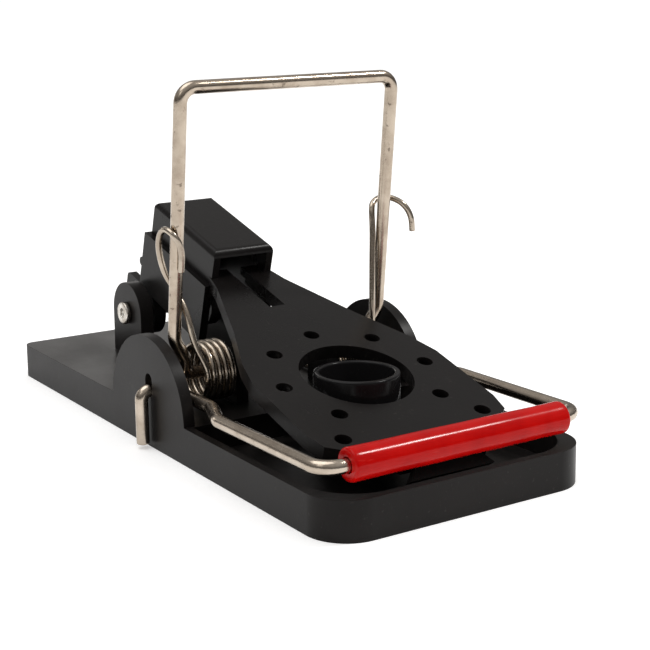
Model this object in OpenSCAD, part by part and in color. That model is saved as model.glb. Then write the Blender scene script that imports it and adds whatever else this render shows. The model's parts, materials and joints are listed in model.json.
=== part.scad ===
// Snap mouse trap: a black moulded base with two round ears, a sloping treadle hinged on a
// rear pin, an upright wire strike bow driven forwards by two torsion springs, and a
// sleeved wire handle that lifts the strike bow back up.
// X is the width, -Y the front, where the handle lies, +Z up. The origin is the middle of
// the base's underside.

/* [Base] */
// Width of the base
base_w = 50; // [46:0.5:54]
// Length of the base
base_l = 113; // [108:0.5:118]
// Height of the base
base_h = 6.5; // [6:0.1:7]
// Thickness of the floor of the front tray
tray_floor = 1.8; // [1.4:0.1:2]
// Width of the rim round the front tray
rim_w = 1.5; // [1.2:0.1:1.8]
// Radius of the base's front corners
front_corner_r = 7; // [5:0.5:9]
// Radius of each ear's round top
ear_r = 13.4; // [13:0.1:14]
// Thickness of each ear
ear_t = 2.1; // [1.8:0.1:2.1]

/* [Strike bow] */
// Diameter of the wire of the two bows
wire_d = 2.3; // [2:0.1:2.3]
// Distance between the strike bow's legs, centre to centre
bow_w = 42.4; // [41.8:0.1:42.4]
// Distance from the strike bow's hinge line to its top bar
bow_l = 49.8; // [48:0.1:50]
// Forward lean of the set strike bow, in degrees
bow_lean = 6.1; // [3:0.1:8]

/* [Springs] */
// Diameter of the spring wire
spring_d = 1.1; // [0.9:0.05:1.1]
// Mean radius of the spring coils
coil_r = 4.85; // [4.6:0.05:5]
// Full turns in each coil
coil_turns = 4; // [3:1:4]

/* [Treadle] */
// Slope of the treadle's plate, in degrees
plate_slope = 15.75; // [15:0.05:16.5]
// Thickness of the plate
plate_t = 1.5; // [1.2:0.1:1.8]
// Depth of the skirt round the plate
skirt_h = 2.4; // [2:0.1:2.6]
// Radius of the bait hole in the plate
bait_hole_r = 9.7; // [9.4:0.1:10]
// Radius of the small round holes in the plate
plate_hole_r = 1.4; // [1.2:0.1:1.6]

/* [Handle] */
// Outer diameter of the red sleeve
sleeve_d = 5.2; // [4.6:0.1:5.4]
// Length of the red sleeve
sleeve_l = 40.8; // [38:0.1:41]

/* [Bait cup] */
// Outer radius of the bait cup
cup_r = 7.25; // [6.8:0.05:7.3]
// Height of the cup's rim above the ground
cup_top = 15.6; // [15:0.1:16]

/* [Hidden] */
$fn = 64;
eps = 0.01;

plastic = [0.13, 0.12, 0.12];
steel = [0.74, 0.72, 0.68];

wire_r = wire_d / 2;
spring_r = spring_d / 2;
run_gap = 0.08;                 // radial clearance of a wire in its bearing
half_w = base_w / 2;
half_l = base_l / 2;
ear_y = 0.9;                    // centre of the ears' arc
ear_z = 6.1;

// Hinge lines, as [y, z]
bow_axis = [-2.1, 12.5];
handle_axis = [0, 10.1];
pin_axis = [36, 15];

// Front tray
tray_back = -13;
tray_corner_r = 9;
rear_corner_r = 2;
cup_y = -26.6;
cup_flange_r = cup_r + 1.4;

// Rear half of the base is a shell
shell_t = 2;
shell_front = -9;

// Bearings that carry the strike bow's feet
bearing_x = [8.4, 10.8];
bearing_r = 3.4;

// Lugs that carry the treadle's pin
lug_x = [8.6, 11.3];
lug_r = 6;
pin_r = 1.2;
pin_head_r = 2.2;
pin_head_t = 1;
pin_dimple_r = 0.8;

slot_rise = 1.7;                // how far the ear's hole runs up above the handle's wire

// Handle
handle_y = -53.3;
handle_z = 10.9;
handle_half = 24.5;             // legs beside the treadle
handle_in = 21.6;               // legs beside the ears
handle_out = half_w + wire_r + 0.3;     // bent ends, clear of the ears and the base
handle_bend = 3.3;
handle_tilt = atan((handle_z - handle_axis[1]) / -handle_y);
handle_reach = norm([handle_y, handle_z - handle_axis[1]]);

// Strike bow's feet
foot_x = 19.1;
foot_jog = [3, 6.5];            // heights above the hinge line where the leg steps inwards
jog_bend = 3;
bow_bend = 2.6;
small_bend = 1.6;

// Where two lengths of wire join, the straight one runs this far into the bend, and the
// bend is thicker by a hair, so that they make one solid
wire_lap = 0.1;
bend_swell = 0.02;

// Treadle, in its own frame: origin on the pin, y up the slope, z square to the plate
plate_z = 17.05;                // top of the plate
plate_front = -85;
tower_front = -21.7;
tower_back = 2.4;
tower_z = 22.4;
tower_half = 6.3;
cheek_half = 7.5;
cheek_back = 3.1;
cheek_z = [4, 15.6];
cheek_t = 1.6;
hub_r = 4.7;
tail_y = 8.4;
edge_half = 18.5;
slot_half = 1.6;
slot_front = -34.6;
slot_rib_t = 1.2;               // ribs that stiffen the plate along both sides of the slot
plate_tuck = 3;                 // how far the plate runs in under the hood
lip_half = [5, 8.1];            // half-width of the front lip at its root and its edge
lip_l = 3.1;
lip_slope = 40;
hole_ring_r = 14.1;
bait_y = -60.2;
corner_hole = [13.6, -76.7];

// Spring coils
coil_x = 17.15;                 // outermost turn
coil_pitch = 1.24;

// ---------- helpers ----------

// Copies its children to the other side
module both_sides() {
    children();
    mirror([1, 0, 0]) children();
}

// Straight wire in the XY plane from a to b
module rod(a, b) {
    d = b - a;
    translate([a[0], a[1], 0]) rotate([0, 90, atan2(d[1], d[0])]) cylinder(r = wire_r, h = norm(d));
}

// Bend of wire in the XY plane round a centre, from angle a0 through sweep
module bend(centre, r_bend, a0, sweep) {
    translate(centre) rotate([0, 0, a0]) rotate_extrude(angle = sweep)
        translate([r_bend, 0]) circle(r = wire_r + bend_swell);
}

// One corner of a flat wire run in the XY plane: a is the corner's point, u and v the unit
// directions that leave it, and rb the bend radius
module corner(a, u, v, rb) {
    half = acos(u * v) / 2;
    centre = a + (u + v) / norm(u + v) * rb / sin(half);
    start = a + u * rb / tan(half) - centre;
    turn = (u[0] * v[1] - u[1] * v[0] > 0) ? -(180 - 2 * half) : 180 - 2 * half;
    bend([centre[0], centre[1], 0], rb, atan2(start[1], start[0]), turn);
}

// Wire that runs flat in the XY plane through the points, with a bend at each inner one
module flat_wire(pts, radii) {
    n = len(pts);
    dirs = [for (i = [0 : n - 2]) (pts[i + 1] - pts[i]) / norm(pts[i + 1] - pts[i])];
    cut = [for (i = [0 : n - 1])
        (i == 0 || i == n - 1) ? 0 : radii[i - 1] / tan(acos(-dirs[i - 1] * dirs[i]) / 2)];
    for (i = [0 : n - 2]) {
        a = pts[i] + dirs[i] * (cut[i] - (i > 0 ? wire_lap : 0));
        b = pts[i + 1] - dirs[i] * (cut[i + 1] - (i < n - 2 ? wire_lap : 0));
        rod(a, b);
    }
    for (i = [1 : n - 2]) corner(pts[i], -dirs[i - 1], dirs[i], radii[i - 1]);
}

// Rectangle with its own radius at the front and at the back corners
module slab_outline(w, l, r_front, r_back) {
    for (sx = [-1, 1]) {
        translate([sx * (w / 2 - r_front), -l / 2 + r_front]) circle(r = r_front);
        translate([sx * (w / 2 - r_back), l / 2 - r_back]) circle(r = r_back);
    }
    translate([-w / 2 + r_front, -l / 2]) square([w - 2 * r_front, l / 2]);
    translate([-w / 2, -l / 2 + r_front]) square([w, l - r_front - r_back]);
    translate([-w / 2 + r_back, 0]) square([w - 2 * r_back, l / 2]);
}

// Disc whose axis runs along X, from x0 to x1, centred on c = [y, z]
module x_disc(c, r, x0, x1) {
    translate([x0, c[0], c[1]]) rotate([0, 90, 0]) cylinder(r = r, h = x1 - x0);
}

// Rounded upright lug on the base: a disc and the web below it
module lug(c, r, x0, x1) {
    x_disc(c, r, x0, x1);
    translate([x0, c[0] - r, base_h - shell_t / 2]) cube([x1 - x0, 2 * r, c[1] - base_h + shell_t / 2]);
}

// ---------- base ----------

// Plan of the front tray
module tray_outline() {
    w = base_w - 2 * rim_w;
    back = tray_back;
    front = -half_l + rim_w;
    for (sx = [-1, 1])
        translate([sx * (w / 2 - tray_corner_r), front + tray_corner_r]) circle(r = tray_corner_r);
    translate([-w / 2 + tray_corner_r, front]) square([w - 2 * tray_corner_r, back - front]);
    translate([-w / 2, front + tray_corner_r]) square([w, back - front - tray_corner_r]);
}

module ear() {
    difference() {
        intersection() {
            x_disc([ear_y, ear_z], ear_r, -half_w, -half_w + ear_t);
            translate([-half_w, -base_l / 2, base_h / 2]) cube([ear_t, base_l, 40]);
        }
        x_disc(handle_axis, wire_r + run_gap, -half_w - 1, -half_w + ear_t + 1);
        x_disc(handle_axis + [0, slot_rise], wire_r + run_gap, -half_w - 1, -half_w + ear_t + 1);
        translate([-half_w - 1, -wire_r - run_gap, handle_axis[1]])
            cube([ear_t + 2, 2 * (wire_r + run_gap), slot_rise]);
    }
}

module base() {
    color(plastic) difference() {
        union() {
            linear_extrude(base_h) slab_outline(base_w, base_l, front_corner_r, rear_corner_r);
            both_sides() {
                ear();
                difference() {
                    lug(bow_axis, bearing_r, bearing_x[0], bearing_x[1]);
                    x_disc(bow_axis, wire_r + run_gap, bearing_x[0] - 1, bearing_x[1] + 1);
                }
                difference() {
                    lug(pin_axis, lug_r, lug_x[0], lug_x[1]);
                    x_disc(pin_axis, pin_r + 0.02, lug_x[0] - 1, lug_x[1] + 1);
                }
            }
        }
        translate([0, 0, tray_floor]) linear_extrude(base_h) tray_outline();
        // hollow underside behind the tray, with a rib down the middle
        both_sides() translate([shell_t / 2, shell_front, -1])
            cube([half_w - 1.5 * shell_t, half_l - shell_t - shell_front, base_h - shell_t + 1]);
        // seat of the bait cup
        translate([0, cup_y, -1]) cylinder(r = cup_r + 0.05, h = base_h);
        translate([0, cup_y, -1]) cylinder(r = cup_flange_r + 0.1, h = 1.9);
    }
}

// Cup that stands up through the treadle's hole, pushed in from below
module bait_cup() {
    color(plastic) translate([0, cup_y, 0]) rotate_extrude() {
        translate([0, 0.3]) square([cup_flange_r, 0.55]);
        translate([0, 0.3]) square([cup_r, 2.2]);
        translate([cup_r - 1.1, 0.3]) square([1.1, cup_top - 0.85]);
        translate([cup_r - 0.55, cup_top - 0.55]) circle(r = 0.55);
    }
}

// ---------- treadle ----------

// Plan of the plate, in the treadle's frame
module plate_outline() {
    half = [[tower_half, tower_front + 1], [7.2, -25.4], [12.6, -41], [16.9, -51.4],
            [edge_half, -57.6], [edge_half, -73.5], [17.6, -77.6], [9.6, plate_front + 1.4],
            [8.2, plate_front]];
    flip = [for (i = [len(half) - 1 : -1 : 0]) [-half[i][0], half[i][1]]];
    polygon(concat(half, flip));
}

// The same outline drawn in by t, for the space inside the skirt
module plate_inner(t) {
    k = (edge_half - t) / edge_half;
    len_y = tower_front - plate_front;
    ky = (len_y - 2 * t) / len_y;
    translate([0, tower_front - t - tower_front * ky]) scale([k, ky]) plate_outline();
}

module plate_holes() {
    translate([0, bait_y]) circle(r = bait_hole_r);
    for (a = [-45 : 45 : 225])
        translate([0, bait_y] + hole_ring_r * [cos(a), sin(a)]) circle(r = plate_hole_r);
    for (sx = [-1, 1]) translate([sx * corner_hole[0], corner_hole[1]]) circle(r = plate_hole_r);
    translate([-slot_half, slot_front])
        square([2 * slot_half, tower_front - slot_front + plate_tuck + 1]);
}

module plate() {
    translate([0, 0, plate_z - plate_t]) linear_extrude(plate_t) difference() {
        union() {
            plate_outline();
            translate([-tower_half + 0.5, tower_front]) square([2 * tower_half - 1, plate_tuck]);
        }
        plate_holes();
    }
    translate([0, 0, plate_z - skirt_h]) linear_extrude(skirt_h - plate_t + eps) difference() {
        plate_outline();
        plate_inner(1.3);
        plate_holes();
    }
    both_sides() translate([-slot_half - slot_rib_t, slot_front, plate_z - skirt_h])
        cube([slot_rib_t, tower_front - slot_front, skirt_h - plate_t + eps]);
    // collar round the bait hole
    translate([0, bait_y, plate_z - skirt_h]) difference() {
        cylinder(r = bait_hole_r + 1.1, h = skirt_h - eps);
        translate([0, 0, -1]) cylinder(r = bait_hole_r, h = skirt_h + 2);
    }
}

// Side walls, hub, tail shelf and round latch beads of the treadle's rear end
module cheek() {
    difference() {
        union() {
            translate([-cheek_half, tower_front, cheek_z[0]])
                cube([cheek_t, cheek_back - tower_front, cheek_z[1] - cheek_z[0]]);
            x_disc([0, 0], hub_r, -cheek_half, -cheek_half + cheek_t + 0.8);
            translate([-cheek_half, 0, 0]) cube([cheek_t, tail_y - 0.9, hub_r]);
            x_disc([tail_y - 0.9, hub_r - 0.9], 0.9, -cheek_half, -cheek_half + cheek_t);
            translate([-cheek_half, tail_y - 1.8, 0]) cube([cheek_t, 1.8, hub_r - 0.9]);
            x_disc([cheek_back, 9.3], 0.9, -cheek_half, -cheek_half + cheek_t);
        }
        x_disc([0, 0], pin_r + 0.05, -cheek_half - 1, 0);
    }
}

// Upright rectangle from (x0, y0) to (x1, y1) with its two upper corners rounded
module arched(x0, x1, y0, y1, r) {
    translate([x0, y0]) square([x1 - x0, y1 - r - y0]);
    translate([x0 + r, y1 - r - eps]) square([x1 - x0 - 2 * r, r + eps]);
    translate([x0 + r, y1 - r]) circle(r = r);
    translate([x1 - r, y1 - r]) circle(r = r);
}

// Hood over the plate's rear end: a roof, two sides and a back, open at the front
module hood() {
    wall = 1.4;
    end_r = 1.6;
    side_r = 1.3;
    foot = cheek_z[1] - 2;
    difference() {
        intersection() {
            translate([-tower_half, 0, 0]) rotate([90, 0, 90]) linear_extrude(2 * tower_half)
                arched(tower_front, tower_back, foot, tower_z, end_r);
            translate([0, tower_back + 1, 0]) rotate([90, 0, 0])
                linear_extrude(tower_back - tower_front + 2)
                    arched(-tower_half, tower_half, foot, tower_z, side_r);
        }
        translate([-tower_half + wall, tower_front - 1, cheek_z[1] - 3])
            cube([2 * (tower_half - wall), tower_back - tower_front + 1 - wall,
                  tower_z - wall - cheek_z[1] + 3]);
    }
}

// Lip that hangs forwards and down from the plate's front edge
module lip() {
    translate([0, plate_front + 0.4, plate_z - plate_t / 2]) rotate([lip_slope, 0, 0])
        translate([0, 0, -plate_t / 2]) linear_extrude(plate_t)
            polygon([[-lip_half[0], 0.3], [lip_half[0], 0.3], [lip_half[1], -lip_l],
                     [-lip_half[1], -lip_l]]);
}

module treadle() {
    color(plastic) translate([0, pin_axis[0], pin_axis[1]]) rotate([plate_slope, 0, 0]) {
        plate();
        lip();
        both_sides() cheek();
        hood();
        // shelf that joins the cheeks behind the hood
        translate([-cheek_half + cheek_t - eps, cheek_back - cheek_t, cheek_z[0] + hub_r / 4])
            cube([2 * (cheek_half - cheek_t + eps), cheek_t, cheek_z[1] - cheek_z[0] - hub_r / 4]);
    }
}

// Steel pin with a flat head at each end and a dimple in each head
module treadle_pin() {
    inner = lug_x[1] + 0.1;
    outer = inner + pin_head_t;
    color(steel) difference() {
        union() {
            x_disc(pin_axis, pin_r, -outer + 0.2, outer - 0.2);
            both_sides() x_disc(pin_axis, pin_head_r, -outer, -inner);
        }
        both_sides() x_disc(pin_axis, pin_dimple_r, -outer - 1, -outer + 0.5);
    }
}

// ---------- wires ----------

// Strike bow, drawn flat with y as the height above its hinge line, then stood up
module strike_bow() {
    h = bow_w / 2;
    foot = bearing_x[0] - 0.3;
    pts = [[-foot, 0], [-foot_x, 0], [-foot_x, foot_jog[0]], [-h, foot_jog[1]], [-h, bow_l],
           [h, bow_l], [h, foot_jog[1]], [foot_x, foot_jog[0]], [foot_x, 0], [foot, 0]];
    color(steel) translate([0, bow_axis[0], bow_axis[1]]) rotate([90 + bow_lean, 0, 0])
        flat_wire(pts, [small_bend, jog_bend, jog_bend, bow_bend,
                        bow_bend, jog_bend, jog_bend, small_bend]);
}

// Handle: a flat bow that lies forwards, and its two ends bent down outside the ears
module handle_bow() {
    step = [-16.2, -23.2];
    end_x = handle_out - small_bend + wire_lap;
    pts = [[-end_x, 0], [-handle_in, 0], [-handle_in, step[0]],
           [-handle_half, step[1]], [-handle_half, -handle_reach], [handle_half, -handle_reach],
           [handle_half, step[1]], [handle_in, step[0]], [handle_in, 0],
           [end_x, 0]];
    end_l = handle_axis[1] - small_bend - 0.7;
    color(steel) translate([0, handle_axis[0], handle_axis[1]]) rotate([-handle_tilt, 0, 0]) {
        flat_wire(pts, [small_bend, 4, 4, handle_bend, handle_bend, 4, 4, small_bend]);
        both_sides() {
            translate([-handle_out + small_bend, 0, 0]) rotate([90, 0, 0])
                bend([0, -small_bend, 0], small_bend, 90, 90);
            translate([-handle_out, 0, -small_bend - end_l])
                cylinder(r = wire_r, h = end_l + wire_lap);
        }
    }
}

module handle_sleeve() {
    color("firebrick") translate([0, handle_y, handle_z]) difference() {
        x_disc([0, 0], sleeve_d / 2, -sleeve_l / 2, sleeve_l / 2);
        x_disc([0, 0], wire_r + 0.07, -sleeve_l / 2 - 1, sleeve_l / 2 + 1);
    }
}

// ---------- springs ----------

// Points along one spring, on the left side: the foot on the base, the coil, then the arm
function coil_point(t, n) =
    let (a = 270 - 360 * t)
    [-coil_x + coil_pitch * (n - t), bow_axis[0] + coil_r * cos(a), bow_axis[1] + coil_r * sin(a)];
function spring_path(arm) =
    let (n = coil_turns + 0.27, rings = 14)
    concat([[-coil_x + coil_pitch * n, 10.5, base_h + spring_r + 0.1],
            [-coil_x + coil_pitch * n, 3, base_h + spring_r + 0.25]],
           [for (i = [0 : ceil(n * rings)]) coil_point(min(i / rings, n), n)],
           smooth(arm, 2));

// Rounds a run of points by cutting its corners (repeated quarter-point subdivision)
function smooth(p, k) = k == 0 ? p : smooth(concat([p[0]],
    [for (i = [0 : len(p) - 2]) each [0.75 * p[i] + 0.25 * p[i + 1],
                                     0.25 * p[i] + 0.75 * p[i + 1]]], [p[len(p) - 1]]), k - 1);

// Tube swept along points, with rings square to the run
module tube(path, r, sides = 8) {
    n = len(path);
    tangent = [for (i = [0 : n - 1])
        let (d = path[min(i + 1, n - 1)] - path[max(i - 1, 0)]) d / norm(d)];
    frames = carry(tangent, 0, [first_normal(tangent[0])]);
    points = [for (i = [0 : n - 1]) for (k = [0 : sides - 1])
        let (a = 360 * k / sides, b = cross(tangent[i], frames[i]))
        path[i] + r * (cos(a) * frames[i] + sin(a) * b)];
    walls = [for (i = [0 : n - 2]) for (k = [0 : sides - 1])
        [i * sides + k, i * sides + (k + 1) % sides,
         (i + 1) * sides + (k + 1) % sides, (i + 1) * sides + k]];
    caps = [[for (k = [sides - 1 : -1 : 0]) k], [for (k = [0 : sides - 1]) (n - 1) * sides + k]];
    polyhedron(points, concat([for (w = walls) [w[3], w[2], w[1], w[0]]],
                              [for (c = caps) [for (i = [sides - 1 : -1 : 0]) c[i]]]), convexity = 10);
}
function first_normal(t) = let (c = cross(t, [1, 0.1, 0.2])) c / norm(c);
// Normals carried from ring to ring without twist
function carry(t, i, out) = i >= len(t) - 1 ? out :
    let (v = out[i] - (out[i] * t[i + 1]) * t[i + 1])
    carry(t, i + 1, concat(out, [v / norm(v)]));

// Left arm: up the inner side of the leg, round behind it, over its outer side and down
// in front
left_arm = [[-17.4, -6.7, 14.6], [-18.9, -5.4, 18.4], [-19.3, -4.4, 23.4], [-20, -1.2, 27.4],
            [-21.9, -0.8, 30.6], [-23.1, -1.2, 35.6], [-23.2, -3.4, 38.7], [-23, -6.6, 38.2],
            [-21.4, -6.8, 35.6], [-21.4, -6.3, 31.3]];
// Right arm, drawn on the left like the other: up in front of the coil and inside the leg,
// round behind the leg, then out past the handle's leg, forwards and down
right_arm = [[-17.2, -6.9, 14.6], [-17.4, -6.6, 21], [-18.2, -5.5, 27.8], [-19.3, -4.1, 34.1],
             [-19.4, -3.6, 37.8], [-20.6, -2.4, 39], [-23, -2.2, 39.7], [-24.6, -3.9, 39.2],
             [-25.7, -5.4, 38.1], [-26.6, -6.1, 36], [-26.8, -6.1, 33.3]];

module spring_left() { color(steel) tube(spring_path(left_arm), spring_r); }
module spring_right() { color(steel) mirror([1, 0, 0]) tube(spring_path(right_arm), spring_r); }

base();
bait_cup();
treadle();
treadle_pin();
strike_bow();
spring_left();
spring_right();
handle_bow();
handle_sleeve();
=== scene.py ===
import json
import math

import bmesh
import bpy
import numpy as np
from mathutils import Matrix, Vector


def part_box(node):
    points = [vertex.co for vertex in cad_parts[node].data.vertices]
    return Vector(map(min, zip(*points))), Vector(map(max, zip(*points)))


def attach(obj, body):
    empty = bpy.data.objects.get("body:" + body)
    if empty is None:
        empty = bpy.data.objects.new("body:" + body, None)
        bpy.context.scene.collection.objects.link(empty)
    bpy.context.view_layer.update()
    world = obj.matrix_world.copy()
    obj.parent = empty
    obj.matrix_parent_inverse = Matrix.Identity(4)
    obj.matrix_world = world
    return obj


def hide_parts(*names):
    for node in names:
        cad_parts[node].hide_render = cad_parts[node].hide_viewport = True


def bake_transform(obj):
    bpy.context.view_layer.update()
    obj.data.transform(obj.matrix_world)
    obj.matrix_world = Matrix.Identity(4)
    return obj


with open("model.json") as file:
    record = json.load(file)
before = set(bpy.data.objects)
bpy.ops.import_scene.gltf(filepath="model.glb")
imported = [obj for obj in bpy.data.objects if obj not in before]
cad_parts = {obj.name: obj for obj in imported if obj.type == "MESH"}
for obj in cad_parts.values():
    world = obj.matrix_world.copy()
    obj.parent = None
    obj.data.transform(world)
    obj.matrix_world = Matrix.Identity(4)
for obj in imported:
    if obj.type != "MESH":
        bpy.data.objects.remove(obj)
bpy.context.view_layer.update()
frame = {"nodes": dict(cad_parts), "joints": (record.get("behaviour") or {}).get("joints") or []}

MM = 0.001

# ---------------------------------------------------------------------------------------
# Base. One injection moulding in black plastic: a shallow tray in front, a hollow block
# behind it, two round ears on the edges and four lugs that carry the hinges. Its outside
# edges are softly rounded by the mould.


class Link:
    """A socket whose operators add Math nodes: + and * and their reflected forms."""

    def __init__(self, owner, socket):
        self.owner = owner
        self.socket = socket

    def _math(self, operation, other):
        return self.owner.node("ShaderNodeMath", {"operation": operation}, {0: self, 1: other})

    def __add__(self, other):
        return self._math("ADD", other)

    def __mul__(self, other):
        return self._math("MULTIPLY", other)

    __radd__ = __add__
    __rmul__ = __mul__


class Nodes:
    """A node tree, and one method that adds any node to it."""

    def __init__(self, tree):
        self.tree = tree

    def node(self, kind, settings=None, sockets=None, out=0):
        """A node of that type with its settings made first, then values or links put in."""
        made = self.tree.nodes.new(kind)
        for name, value in (settings or {}).items():
            if name == "stops":
                ramp = made.color_ramp
                ramp.elements[0].position, ramp.elements[0].color = value[0]
                ramp.elements[1].position, ramp.elements[1].color = value[-1]
                for position, colour in value[1:-1]:
                    ramp.elements.new(position).color = colour
            else:
                setattr(made, name, value)
        for name, value in (sockets or {}).items():
            if isinstance(value, Link):
                self.tree.links.new(value.socket, made.inputs[name])
            else:
                made.inputs[name].default_value = value
        return Link(self, made.outputs[out])


class Finish(Nodes):
    """A material with a Principled surface, and the patterns that are laid over it."""

    def __init__(self, name, **constants):
        self.material = bpy.data.materials.new(name)
        self.material.use_nodes = True
        super().__init__(self.material.node_tree)
        self.surface = self.tree.nodes["Principled BSDF"]
        for socket, value in constants.items():
            self.surface.inputs[socket.replace("_", " ")].default_value = value

    def place(self, scale=(1, 1, 1)):
        """Object coordinates, stretched by scale."""
        spot = self.node("ShaderNodeTexCoord", out="Object")
        return self.node("ShaderNodeMapping", sockets={"Vector": spot, "Scale": scale})

    def along(self, scale):
        """The piece's own UV map, stretched by scale: u runs along a wire and v round it."""
        spot = self.node("ShaderNodeUVMap", {"uv_map": "run"})
        return self.node("ShaderNodeMapping", sockets={"Vector": spot, "Scale": scale})

    def noise(self, spot, scale, detail=3.0, rough=0.5):
        """Cloudy pattern from 0 to 1 round about a half."""
        return self.node("ShaderNodeTexNoise", {"noise_dimensions": "3D"},
                         {"Vector": spot, "Scale": scale, "Detail": detail, "Roughness": rough})

    def spread(self, value, low, high, to_low, to_high):
        """Value taken from the range low..high to to_low..to_high, held at its ends."""
        return self.node("ShaderNodeMapRange", {"clamp": True},
                         {"Value": value, "From Min": low, "From Max": high,
                          "To Min": to_low, "To Max": to_high})

    def tint(self, mask, first, second):
        """First colour where the mask is 0 and second where it is 1."""
        made = self.tree.nodes.new("ShaderNodeMix")
        made.data_type = "RGBA"
        self.tree.links.new(mask.socket, made.inputs["Factor"])
        for index, colour in ((6, first), (7, second)):
            if isinstance(colour, Link):
                self.tree.links.new(colour.socket, made.inputs[index])
            else:
                made.inputs[index].default_value = (*colour, 1.0)
        return Link(self, made.outputs[2])

    def relief(self, height, depth, strength, under=None):
        """Bump of that depth in metres, laid over an earlier one if there is one."""
        sockets = {"Height": height, "Distance": depth, "Strength": strength}
        if under is not None:
            sockets["Normal"] = under
        return self.node("ShaderNodeBump", sockets=sockets)

    def feed(self, **links):
        """Joins links to the surface's own sockets and gives the material."""
        for socket, link in links.items():
            self.tree.links.new(link.socket, self.surface.inputs[socket.replace("_", " ")])
        return self.material


def moulded_plastic(name, colour, worn, shine, grain=1.0):
    """Black moulding plastic: fine spark-eroded grain, flow clouds, and faint rub marks."""
    f = Finish(name, Specular_IOR_Level=0.12)
    spot = f.place()
    clouds = f.noise(spot, 60, 4, 0.6)
    grit = f.noise(spot, 4200, 2, 0.6)
    rubs = f.noise(f.place((1400, 160, 500)), 1.0, 3, 0.65)
    rub_mask = f.spread(rubs, 0.62, 0.74, 0, 1) * f.spread(clouds, 0.45, 0.65, 0, 1)
    dust = f.spread(f.noise(spot, 1500, 1, 0.5), 0.70, 0.78, 0, 1)
    dark = tuple(0.8 * c for c in colour)
    light = tuple(1.25 * c for c in colour)
    body = f.tint(f.spread(clouds, 0.3, 0.7, 0, 1), dark, light)
    body = f.tint(rub_mask * 0.35, body, worn)
    body = f.tint(dust * 0.25, body, worn)
    rough = f.spread(clouds, 0.3, 0.7, shine - 0.05, shine + 0.06) + rub_mask * 0.1
    height = grit * 0.7 + f.noise(spot, 900, 2, 0.5) * 0.6
    return f.feed(Base_Color=body, Roughness=rough, Normal=f.relief(height, 0.00002 * grain, 0.6))


def moulded_copy(name, node, rounding, material):
    """A copy of a CAD node with its loose triangles joined, its flat faces merged and its
    sharp edges rounded. The rounding is a Bevel of that width, on edges where the surface
    turns by more than 35 degrees."""
    mesh = frame["nodes"][node].data.copy()
    mesh.name = name
    mesh.materials.clear()
    work = bmesh.new()
    work.from_mesh(mesh)
    bmesh.ops.remove_doubles(work, verts=work.verts, dist=2e-6)
    bmesh.ops.dissolve_degenerate(work, edges=work.edges, dist=2e-6)
    bmesh.ops.dissolve_limit(work, angle_limit=math.radians(1.0), verts=work.verts,
                             edges=work.edges, delimit={"NORMAL"})
    work.to_mesh(mesh)
    work.free()
    mesh.materials.append(material)
    piece = bpy.data.objects.new(name, mesh)
    bpy.context.scene.collection.objects.link(piece)
    for face in mesh.polygons:
        face.use_smooth = True
    round_over = piece.modifiers.new("rounding", "BEVEL")
    round_over.width = rounding
    round_over.segments = 2
    round_over.limit_method = "ANGLE"
    round_over.angle_limit = math.radians(35)
    round_over.use_clamp_overlap = True
    flat_first = piece.modifiers.new("flat_faces_first", "WEIGHTED_NORMAL")
    flat_first.mode = "FACE_AREA"
    flat_first.weight = 100
    return piece


base_plastic = moulded_plastic("base_plastic", (0.0105, 0.0092, 0.0088), (0.06, 0.054, 0.05), 0.34)
base = moulded_copy("base_moulding", "base", 0.35 * MM, base_plastic)
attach(base, "base")
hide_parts("base")

# ---------------------------------------------------------------------------------------
# Treadle. A stiff moulding in the same black plastic with a skirt under its plate, a ring
# of small holes round the bait hole, a lip in front and a hood over its rear end. It turns
# on the rear pin.

treadle_plastic = moulded_plastic("treadle_plastic", (0.008, 0.007, 0.0068),
                                  (0.05, 0.045, 0.042), 0.30, 1.2)
treadle = moulded_copy("treadle_moulding", "treadle", 0.3 * MM, treadle_plastic)
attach(treadle, "treadle")
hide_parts("treadle")

# ---------------------------------------------------------------------------------------
# Bait cup. A small round cup in glossy black plastic, pushed into the base from
# below, whose thin rim stands level with the plate inside the bait hole.


def grid_mesh(name, points, material, uv=None):
    """Mesh of rings of points[ring, place]. Neighbouring rings are joined by quads all the
    way round, and each end ring is closed by one face."""
    rows, cols = points.shape[:2]
    verts = points.reshape(-1, 3)
    ring = np.arange(rows - 1)[:, None] * cols
    here = np.arange(cols)
    beside = (here + 1) % cols
    quads = np.stack([ring + here, ring + beside, ring + cols + beside, ring + cols + here], axis=-1)
    faces = quads.reshape(-1, 4).tolist()
    faces.append(list(range(cols))[::-1])
    faces.append([(rows - 1) * cols + k for k in range(cols)])
    mesh = bpy.data.meshes.new(name)
    mesh.from_pydata(verts.tolist(), [], faces)
    work = bmesh.new()
    work.from_mesh(mesh)
    bmesh.ops.remove_doubles(work, verts=work.verts, dist=1e-7)
    bmesh.ops.recalc_face_normals(work, faces=work.faces)
    work.to_mesh(mesh)
    work.free()
    mesh.materials.append(material)
    mesh.polygons.foreach_set("use_smooth", np.ones(len(mesh.polygons), dtype=bool))
    if uv is not None:
        layer = mesh.uv_layers.new(name="run")
        corner_vert = np.empty(len(mesh.loops), dtype=np.int32)
        mesh.loops.foreach_get("vertex_index", corner_vert)
        layer.data.foreach_set("uv", uv(corner_vert).astype(np.float32).ravel())
    piece = bpy.data.objects.new(name, mesh)
    bpy.context.scene.collection.objects.link(piece)
    return piece


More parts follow.
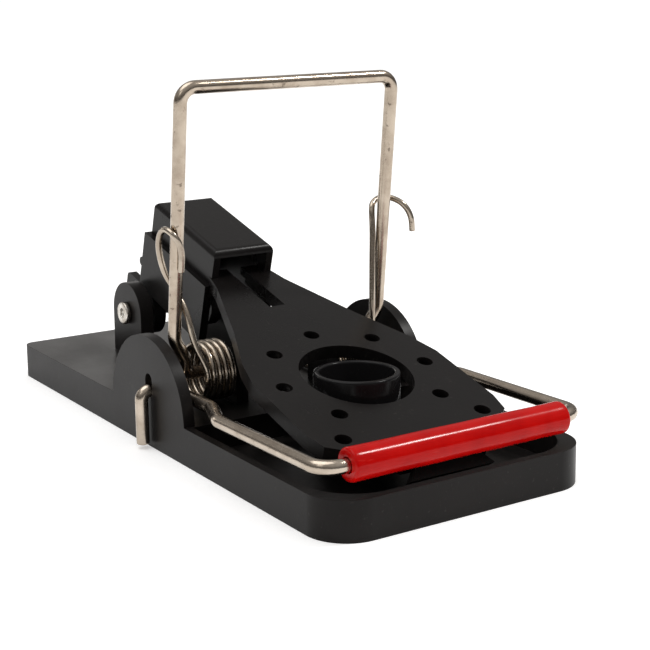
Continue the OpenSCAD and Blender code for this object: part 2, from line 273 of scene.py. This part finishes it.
def turned(name, profile, centre, axis, material, around=128):
    """Profile of (radius, height) pairs turned round an axis through centre. A point is
    centre + height * axis + radius * (cos a * side + sin a * other side)."""
    axis = np.array(axis, float)
    side = np.cross(axis, (0.3, 0.5, 0.8))
    side /= np.linalg.norm(side)
    other = np.cross(axis, side)
    a = np.linspace(0, 2 * np.pi, around, endpoint=False)
    ring = np.cos(a)[:, None] * side + np.sin(a)[:, None] * other
    radius, height = np.array(profile, float).T
    points = np.array(centre) + height[:, None, None] * axis + radius[:, None, None] * ring
    return grid_mesh(name, points, material)


def rounded(points, radius):
    """Outline through the points with each inner corner replaced by an arc: the corner's
    quadratic curve between the two places one radius away from it."""
    arc_points = 6
    pts = [np.array(p, float) for p in points]
    run = [pts[0]]
    for before, corner, after in zip(pts, pts[1:], pts[2:]):
        back, on = before - corner, after - corner
        reach = min(radius, 0.49 * np.linalg.norm(back), 0.49 * np.linalg.norm(on))
        start = corner + back / np.linalg.norm(back) * reach
        end = corner + on / np.linalg.norm(on) * reach
        t = np.linspace(0, 1, arc_points)[:, None]
        run.extend((1 - t) ** 2 * start + 2 * t * (1 - t) * corner + t**2 * end)
    run.append(pts[-1])
    return np.array(run)


# A profile that closes on its axis stops this far from it, so the face there is not empty.
on_axis = 1e-6

low, high = (np.array(c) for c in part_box("bait_cup"))
cup_centre = ((low[0] + high[0]) / 2, (low[1] + high[1]) / 2, low[2])
flange_r = (high[0] - low[0]) / 2
flange_w, flange_t = 1.4 * MM, 0.55 * MM
cup_r = flange_r - flange_w
cup_h = high[2] - low[2]
cup_wall, cup_draft, cup_floor = 1.1 * MM, 0.1 * MM, 2.2 * MM
cup_profile = rounded(
    [(on_axis, 0), (flange_r, 0), (flange_r, flange_t), (cup_r, flange_t), (cup_r, cup_h),
     (cup_r - cup_wall, cup_h), (cup_r - cup_wall - cup_draft, cup_floor), (on_axis, cup_floor)],
    0.45 * MM)
cup_plastic = moulded_plastic("cup_plastic", (0.010, 0.0095, 0.010), (0.03, 0.03, 0.03), 0.20, 0.3)
cup = turned("bait_cup_moulding", cup_profile, cup_centre, (0, 0, 1), cup_plastic)
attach(cup, "base")
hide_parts("bait_cup")

# ---------------------------------------------------------------------------------------
# Strike bow. Bright nickel-plated steel wire, bent cold into a frame whose in-turned feet
# turn in the lugs on the base. The die that drew the wire leaves fine lines along it.


def wire_steel(name, colour, dull, rough):
    """Plated wire: streaks drawn along the length, a soft haze and a few tarnish spots."""
    f = Finish(name, Metallic=1.0)
    streaks = f.noise(f.along((30, 900, 1)), 1.0, 2, 0.6)
    haze = f.noise(f.place(), 260, 3, 0.6)
    spots = f.spread(f.noise(f.place(), 900, 2, 0.5), 0.66, 0.74, 0, 1)
    mask = f.spread(haze, 0.42, 0.66, 0, 1)
    tone = f.tint(mask * 0.55, colour, dull)
    tone = f.tint(spots * 0.5, tone, tuple(0.45 * c for c in dull))
    roughness = f.spread(streaks, 0.3, 0.7, rough - 0.05, rough + 0.08) + mask * 0.06 + spots * 0.2
    bump = f.relief(streaks, 0.00001, 0.5)
    bump = f.relief(haze, 0.00006, 0.35, bump)
    return f.feed(Base_Color=tone, Roughness=roughness, Normal=bump)


def swept(name, path, radius, material, sides=24):
    """Round wire along a path. Rings stand square to the path, carried from one to the
    next without twist; the last few at each end shrink as a quarter circle, so the cut
    ends are a little rounded. UV: u is the distance along in metres, v the way round."""
    cut_rounding = 0.3
    start = path[0] - path[1]
    end = path[-1] - path[-2]
    start /= np.linalg.norm(start)
    end /= np.linalg.norm(end)
    q = np.linspace(0, 1, 4)
    reach = cut_rounding * radius
    shrink = radius - reach * (1 - np.sqrt(1 - (1 - q) ** 2))
    offset = reach * (1 - q)
    head = path[0] - start * (reach - offset)[:, None]
    tail = path[-1] - end * (reach - offset[::-1])[:, None]
    inner = path[1:-1]
    keep = np.linalg.norm(inner - path[0], axis=1) > reach
    keep &= np.linalg.norm(inner - path[-1], axis=1) > reach
    run = np.concatenate([head, inner[keep], tail])
    size = np.concatenate([shrink, np.full(keep.sum(), radius), shrink[::-1]])
    tangent = np.gradient(run, axis=0)
    tangent /= np.linalg.norm(tangent, axis=1)[:, None]
    normal = np.empty_like(run)
    normal[0] = np.cross(tangent[0], (0.31, 0.17, 0.94))
    for k in range(1, len(run)):
        normal[k] = normal[k - 1] - (normal[k - 1] @ tangent[k]) * tangent[k]
        normal[k] /= np.linalg.norm(normal[k])
    normal[0] /= np.linalg.norm(normal[0])
    binormal = np.cross(tangent, normal)
    a = np.linspace(0, 2 * np.pi, sides, endpoint=False)
    ring = np.cos(a)[None, :, None] * normal[:, None] + np.sin(a)[None, :, None] * binormal[:, None]
    points = run[:, None] + size[:, None, None] * ring
    step = np.concatenate([[0], np.cumsum(np.linalg.norm(np.diff(run, axis=0), axis=1))])
    lengths = np.repeat(step, sides)
    turn = np.tile(a / (2 * np.pi), len(run))

    def run_uv(corner_vert):
        return np.stack([lengths[corner_vert], turn[corner_vert]], axis=1)

    return grid_mesh(name, points, material, uv=run_uv)


def bent(points, radii):
    """Wire's centre line through the points: straight, with a circular arc of its own
    radius at each inner point, laid out at a nearly even step."""
    step = 0.4 * MM
    pts = [np.array(p, float) for p in points]
    run = []
    cursor = pts[0]
    for before, corner, after, radius in zip(pts, pts[1:], pts[2:], radii):
        u = (before - corner) / np.linalg.norm(before - corner)
        v = (after - corner) / np.linalg.norm(after - corner)
        half = math.acos(np.clip(u @ v, -1, 1)) / 2
        reach = radius / math.tan(half)
        centre = corner + (u + v) / np.linalg.norm(u + v) * radius / math.sin(half)
        start, sweep = corner + u * reach, math.pi - 2 * half
        count = max(2, int(np.linalg.norm(start - cursor) / step))
        run.append(cursor + np.linspace(0, 1, count, endpoint=False)[:, None] * (start - cursor))
        first = (start - centre) / radius
        second = -u
        angle = np.linspace(0, sweep, max(8, int(radius * sweep / step)), endpoint=False)[:, None]
        run.append(centre + radius * (np.cos(angle) * first + np.sin(angle) * second))
        cursor = corner + v * reach
    count = max(2, int(np.linalg.norm(pts[-1] - cursor) / step))
    run.append(cursor + np.linspace(0, 1, count)[:, None] * (pts[-1] - cursor))
    return np.concatenate(run)


joints = {joint["name"]: joint for joint in frame["joints"]}
bow_hinge = np.array(joints["strike_hinge"]["pos_m"], float)
wire_r = 1.15 * MM
bow_half = 21.2 * MM
bow_l = 49.8 * MM
lean = math.radians(6.1)
foot_half = 19.1 * MM
foot_end = 8.1 * MM
bow_low, bow_high = 3 * MM, 6.5 * MM
bow_up = np.array([0, -math.sin(lean), math.cos(lean)])


def on_bow(x, height):
    """Point of the bow's flat frame: x across and height up the lean from the hinge."""
    return np.array([x, bow_hinge[1], bow_hinge[2]]) + height * bow_up


half_bow = [(foot_end, 0), (foot_half, 0), (foot_half, bow_low), (bow_half, bow_high), (bow_half, bow_l)]
bow_points = [on_bow(-x, h) for x, h in half_bow] + [on_bow(x, h) for x, h in half_bow[::-1]]
tight_bend, jog_bend, top_bend = 1.6 * MM, 3 * MM, 2.6 * MM
bow_radii = [tight_bend, jog_bend, jog_bend, top_bend, top_bend, jog_bend, jog_bend, tight_bend]
bow_steel = wire_steel("bow_steel", (0.46, 0.39, 0.315), (0.27, 0.21, 0.16), 0.15)
strike_bow = swept("strike_bow_wire", bent(bow_points, bow_radii), wire_r, bow_steel)
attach(strike_bow, "strike_bow")
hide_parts("strike_bow")

# ---------------------------------------------------------------------------------------
# Springs. Two torsion springs of hard-drawn wire, wound round the bow's feet. One end of
# each lies on the base and the other is hooked round the bow's leg. They stay where they
# are built and are not attached to a body.

spring_r = 0.55 * MM
coil_r = 4.85 * MM
coil_out = 17.15 * MM
coil_pitch = 1.24 * MM
coil_turns = 4.27
foot_tip = (10.5 * MM, 7.15 * MM)
foot_turn = (3 * MM, 7.3 * MM)
spring_steel = wire_steel("spring_steel", (0.44, 0.38, 0.31), (0.24, 0.19, 0.15), 0.18)


def curved(points, rounds=4):
    """Run of points with its corners cut again and again at a quarter and three quarters
    of each span, which tends to a smooth curve that keeps both ends."""
    run = np.array(points, float)
    for _ in range(rounds):
        a, b = run[:-1], run[1:]
        cut = np.stack([0.75 * a + 0.25 * b, 0.25 * a + 0.75 * b], axis=1).reshape(-1, 3)
        run = np.concatenate([run[:1], cut, run[-1:]])
    return run


def spring_path(arm, side):
    """Foot on the base, then the coil, then the arm. On the coil, after t turns, the point
    stands at angle 270 - 360 t degrees round the hinge line and one pitch further out per
    turn. Side is -1 on the left and 1 on the right."""
    t = np.linspace(0, coil_turns, int(coil_turns * 48))
    angle = np.radians(270 - 360 * t)
    coil = np.stack([coil_out - coil_pitch * (coil_turns - t), bow_hinge[1] + coil_r * np.cos(angle),
                     bow_hinge[2] + coil_r * np.sin(angle)], axis=1)
    foot_x = coil_out - coil_pitch * coil_turns
    foot = curved([(foot_x, *foot_tip), (foot_x, *foot_turn), coil[0]], 3)[:-1]
    arm = curved(np.concatenate([coil[-2:], np.array(arm) * MM]))[3:]
    path = np.concatenate([foot, coil[:-1], arm])
    return path * (side, 1, 1)


left_arm = [(17.4, -6.7, 14.6), (18.9, -5.4, 18.4), (19.3, -4.4, 23.4), (20, -1.2, 27.4),
            (21.9, -0.8, 30.6), (23.1, -1.2, 35.6), (23.2, -3.4, 38.7), (23, -6.6, 38.2),
            (21.4, -6.8, 35.6), (21.4, -6.3, 31.3)]
right_arm = [(17.2, -6.9, 14.6), (17.4, -6.6, 21), (18.2, -5.5, 27.8), (19.3, -4.1, 34.1),
             (19.4, -3.6, 37.8), (20.6, -2.4, 39), (23, -2.2, 39.7), (24.6, -3.9, 39.2),
             (25.7, -5.4, 38.1), (26.6, -6.1, 36), (26.8, -6.1, 33.3)]
for side, label, arm in ((-1, "left", left_arm), (1, "right", right_arm)):
    spring = swept(f"spring_{label}_wire", spring_path(arm, side), spring_r, spring_steel, sides=16)
    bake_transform(spring)
    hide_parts(f"spring_{label}")

# ---------------------------------------------------------------------------------------
# Handle. The same plated wire in a flat bow that lies forwards. Its two ends pass out
# through the ears and are bent down beside the base.

handle_hinge = np.array(joints["handle_hinge"]["pos_m"], float)
sleeve_low, sleeve_high = (np.array(c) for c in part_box("handle_sleeve"))
sleeve_centre = (sleeve_low + sleeve_high) / 2
handle_half, handle_in, handle_out = 24.5 * MM, 21.6 * MM, 26.45 * MM
forwards = np.array([0, sleeve_centre[1] - handle_hinge[1], sleeve_centre[2] - handle_hinge[2]])
handle_l = np.linalg.norm(forwards)
forwards = forwards / handle_l
downwards = np.cross((1, 0, 0), forwards)
handle_drop = 9.4 * MM
step_start, step_end = 16.2 * MM, 23.2 * MM
step_bend, front_bend = 4 * MM, 3.3 * MM


def on_handle(x, reach, drop):
    """Point of the handle: x across, reach forwards from the hinge, drop square to it."""
    return np.array([x, handle_hinge[1], handle_hinge[2]]) + reach * forwards + drop * downwards


half_handle = [(handle_out, 0, handle_drop), (handle_out, 0, 0), (handle_in, 0, 0),
               (handle_in, step_start, 0), (handle_half, step_end, 0), (handle_half, handle_l, 0)]
handle_points = [on_handle(-x, y, z) for x, y, z in half_handle]
handle_points += [on_handle(x, y, z) for x, y, z in half_handle[::-1]]
handle_radii = [tight_bend, tight_bend, step_bend, step_bend, front_bend,
                front_bend, step_bend, step_bend, tight_bend, tight_bend]
handle_steel = wire_steel("handle_steel", (0.50, 0.43, 0.355), (0.29, 0.235, 0.18), 0.14)
handle = swept("handle_wire", bent(handle_points, handle_radii), wire_r, handle_steel)
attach(handle, "handle")
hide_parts("handle_bow")

# ---------------------------------------------------------------------------------------
# Sleeve. A length of glossy red plastic tube pushed over the handle's front bar. Cut
# square, with slightly rounded lips, and not quite straight along its surface.


def red_tube(name):
    """Glossy red plastic with faint lines along the tube, clouds of tone and light scuffs."""
    f = Finish(name, Specular_IOR_Level=0.14)
    lines = f.noise(f.place((30, 700, 700)), 1.0, 2, 0.6)
    clouds = f.noise(f.place(), 180, 3, 0.6)
    scuffs = f.spread(f.noise(f.place((200, 1500, 1500)), 1.0, 3, 0.7), 0.66, 0.74, 0, 1)
    tone = f.tint(f.spread(clouds, 0.35, 0.65, 0, 1), (0.42, 0.001, 0.001), (0.52, 0.003, 0.002))
    tone = f.tint(scuffs * 0.25, tone, (0.62, 0.05, 0.04))
    rough = f.spread(clouds, 0.3, 0.7, 0.13, 0.19) + scuffs * 0.1
    return f.feed(Base_Color=tone, Roughness=rough, Normal=f.relief(lines, 0.000012, 0.4))


sleeve_l = sleeve_high[0] - sleeve_low[0]
sleeve_r = (sleeve_high[2] - sleeve_low[2]) / 2
sleeve_bore = wire_r + 0.07 * MM
lip = rounded([(sleeve_bore, 0.3 * MM), (sleeve_bore, 0), (sleeve_r, 0), (sleeve_r, 1.2 * MM)], 0.5 * MM)
sleeve_dip = 0.04 * MM
stretch = np.linspace(0.04, 0.96, 60)
outside = np.stack([sleeve_r - sleeve_dip * np.sin(stretch * 9) ** 2, sleeve_l * stretch], axis=1)
far_lip = (lip * (1, -1) + (0, sleeve_l))[::-1]
sleeve_profile = np.concatenate([lip, outside, far_lip])
sleeve = turned("sleeve_tube", sleeve_profile, (sleeve_low[0], sleeve_centre[1], sleeve_centre[2]),
                (1, 0, 0), red_tube("sleeve_plastic"))
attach(sleeve, "handle")
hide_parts("handle_sleeve")

# ---------------------------------------------------------------------------------------
# Treadle pin. Plain bright steel with a flat head pressed over each lug.


def pressed_steel(name):
    """Plain steel: fine turning noise and a brownish haze."""
    f = Finish(name, Metallic=1.0)
    grain = f.noise(f.place(), 2500, 2, 0.6)
    haze = f.noise(f.place(), 500, 3, 0.6)
    tone = f.tint(f.spread(haze, 0.4, 0.65, 0, 1), (0.72, 0.69, 0.64), (0.42, 0.38, 0.33))
    return f.feed(Base_Color=tone, Roughness=f.spread(grain, 0.3, 0.7, 0.22, 0.38),
                  Normal=f.relief(grain, 0.00002, 0.4))


pin_low, pin_high = (np.array(c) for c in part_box("treadle_pin"))
pin_centre = (pin_low + pin_high) / 2
pin_l = pin_high[0] - pin_low[0]
head_r, head_t, pin_r = 2.2 * MM, 1.0 * MM, 1.2 * MM
dimple_r, dimple_t = 0.8 * MM, 0.5 * MM
half_pin = rounded([(on_axis, dimple_t), (dimple_r, dimple_t), (dimple_r + 0.05 * MM, 0), (head_r, 0),
                    (head_r, head_t), (pin_r, head_t), (pin_r, head_t + 2 * MM)], 0.35 * MM)
pin_profile = np.concatenate([half_pin, (half_pin * (1, -1) + (0, pin_l))[::-1]])
pin = turned("treadle_pin_steel", pin_profile, (pin_low[0], pin_centre[1], pin_centre[2]),
             (1, 0, 0), pressed_steel("pin_steel"), 64)
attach(pin, "base")
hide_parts("treadle_pin")

# ---------------------------------------------------------------------------------------
# Studio. A pale seamless floor, a soft light high on the left, two low ones behind that
# glance off the base, a small two-paned one for the crisp lines on wire and tube, soft
# daylight from above, a dim room, and the camera.


def pale_floor(name):
    """Matt white paint, lit evenly from inside like a light table, with hardly any tone."""
    f = Finish(name, Specular_IOR_Level=0.1, Emission_Strength=0.4)
    tone = f.tint(f.noise(f.place(), 3, 2, 0.5), (0.86, 0.86, 0.86), (0.90, 0.90, 0.90))
    f.surface.inputs["Emission Color"].default_value = (1, 1, 1, 1)
    return f.feed(Base_Color=tone, Roughness=f.spread(f.noise(f.place(), 40), 0.3, 0.7, 0.7, 0.8))


floor_mesh = bpy.data.meshes.new("floor")
floor_half = 12.0
floor_mesh.from_pydata([(-floor_half, -floor_half, 0), (floor_half, -floor_half, 0),
                        (floor_half, floor_half, 0), (-floor_half, floor_half, 0)], [], [(0, 1, 2, 3)])
floor_mesh.materials.append(pale_floor("floor_paint"))
floor = bpy.data.objects.new("floor", floor_mesh)
bpy.context.scene.collection.objects.link(floor)


def soft_light(name, place, aim, size, power, colour):
    """Square area light at a place, turned to face the point it is aimed at."""
    lamp = bpy.data.lights.new(name, "AREA")
    lamp.size = size
    lamp.energy = power
    lamp.color = colour
    stand = bpy.data.objects.new(name, lamp)
    stand.location = place
    stand.rotation_euler = (Vector(aim) - Vector(place)).to_track_quat("-Z", "Y").to_euler()
    bpy.context.scene.collection.objects.link(stand)


soft_light("key_light", (-0.5, -0.15, 0.45), (0, 0, 0.02), 0.2, 0.15, (1, 0.985, 0.95))
soft_light("rear_left", (-0.24, 0.62, 0.17), (0, 0.03, 0.005), 0.16, 0.14, (1, 0.98, 0.95))
soft_light("rear_right", (0.25, 0.66, 0.21), (0, 0.03, 0.005), 0.2, 0.15, (1, 0.98, 0.95))
for pane, pane_x in enumerate((0.325, 0.36)):
    soft_light(f"window_{pane}", (pane_x, -0.16, 0.50), (0, -0.05, 0.011), 0.058, 0.7, (1, 0.99, 0.97))

daylight = bpy.data.lights.new("overhead", "SUN")
daylight.energy = 1.1
daylight.angle = math.radians(50)
overhead = bpy.data.objects.new("overhead", daylight)
overhead.rotation_euler = Vector((0.25, -0.2, -1)).to_track_quat("-Z", "Y").to_euler()
bpy.context.scene.collection.objects.link(overhead)

# The room round the table: dim at eye level, brighter overhead.
world = bpy.data.worlds.new("studio")
world.use_nodes = True
room = Nodes(world.node_tree)
direction = room.node("ShaderNodeTexCoord", out="Generated")
height = room.node("ShaderNodeSeparateXYZ", sockets={0: direction}, out="Z")
eye_level, overhead_tone = (0.0, (0.045, 0.04, 0.037, 1)), (0.75, (0.55, 0.54, 0.53, 1))
tone = room.node("ShaderNodeValToRGB", {"stops": (eye_level, overhead_tone)}, {"Fac": height},
                 out="Color")
room.tree.links.new(tone.socket, room.tree.nodes["Background"].inputs["Color"])
bpy.context.scene.world = world

azimuth, elevation, roll = (math.radians(v) for v in (-32.26, 11.27, -0.7))
look_at = Vector((0, -6.54 * MM, 30.33 * MM))
camera_away = 254 * MM
back = Vector((math.sin(azimuth) * math.cos(elevation), -math.cos(azimuth) * math.cos(elevation),
               math.sin(elevation)))
level = Vector((math.cos(azimuth), math.sin(azimuth), 0))
right = math.cos(roll) * level + math.sin(roll) * back.cross(level)
up = back.cross(right)
camera = bpy.data.cameras.new("camera")
camera.lens = 80.68
camera.sensor_width = 36
camera.shift_x = 0.053
camera.shift_y = -0.094
camera.clip_start = 0.01
camera.clip_end = 50
viewer = bpy.data.objects.new("camera", camera)
turn = Matrix((right, up, back)).transposed().to_4x4()
viewer.matrix_world = Matrix.Translation(look_at + camera_away * back) @ turn
bpy.context.scene.collection.objects.link(viewer)
bpy.context.scene.camera = viewer
bpy.context.scene.view_settings.view_transform = "Standard"
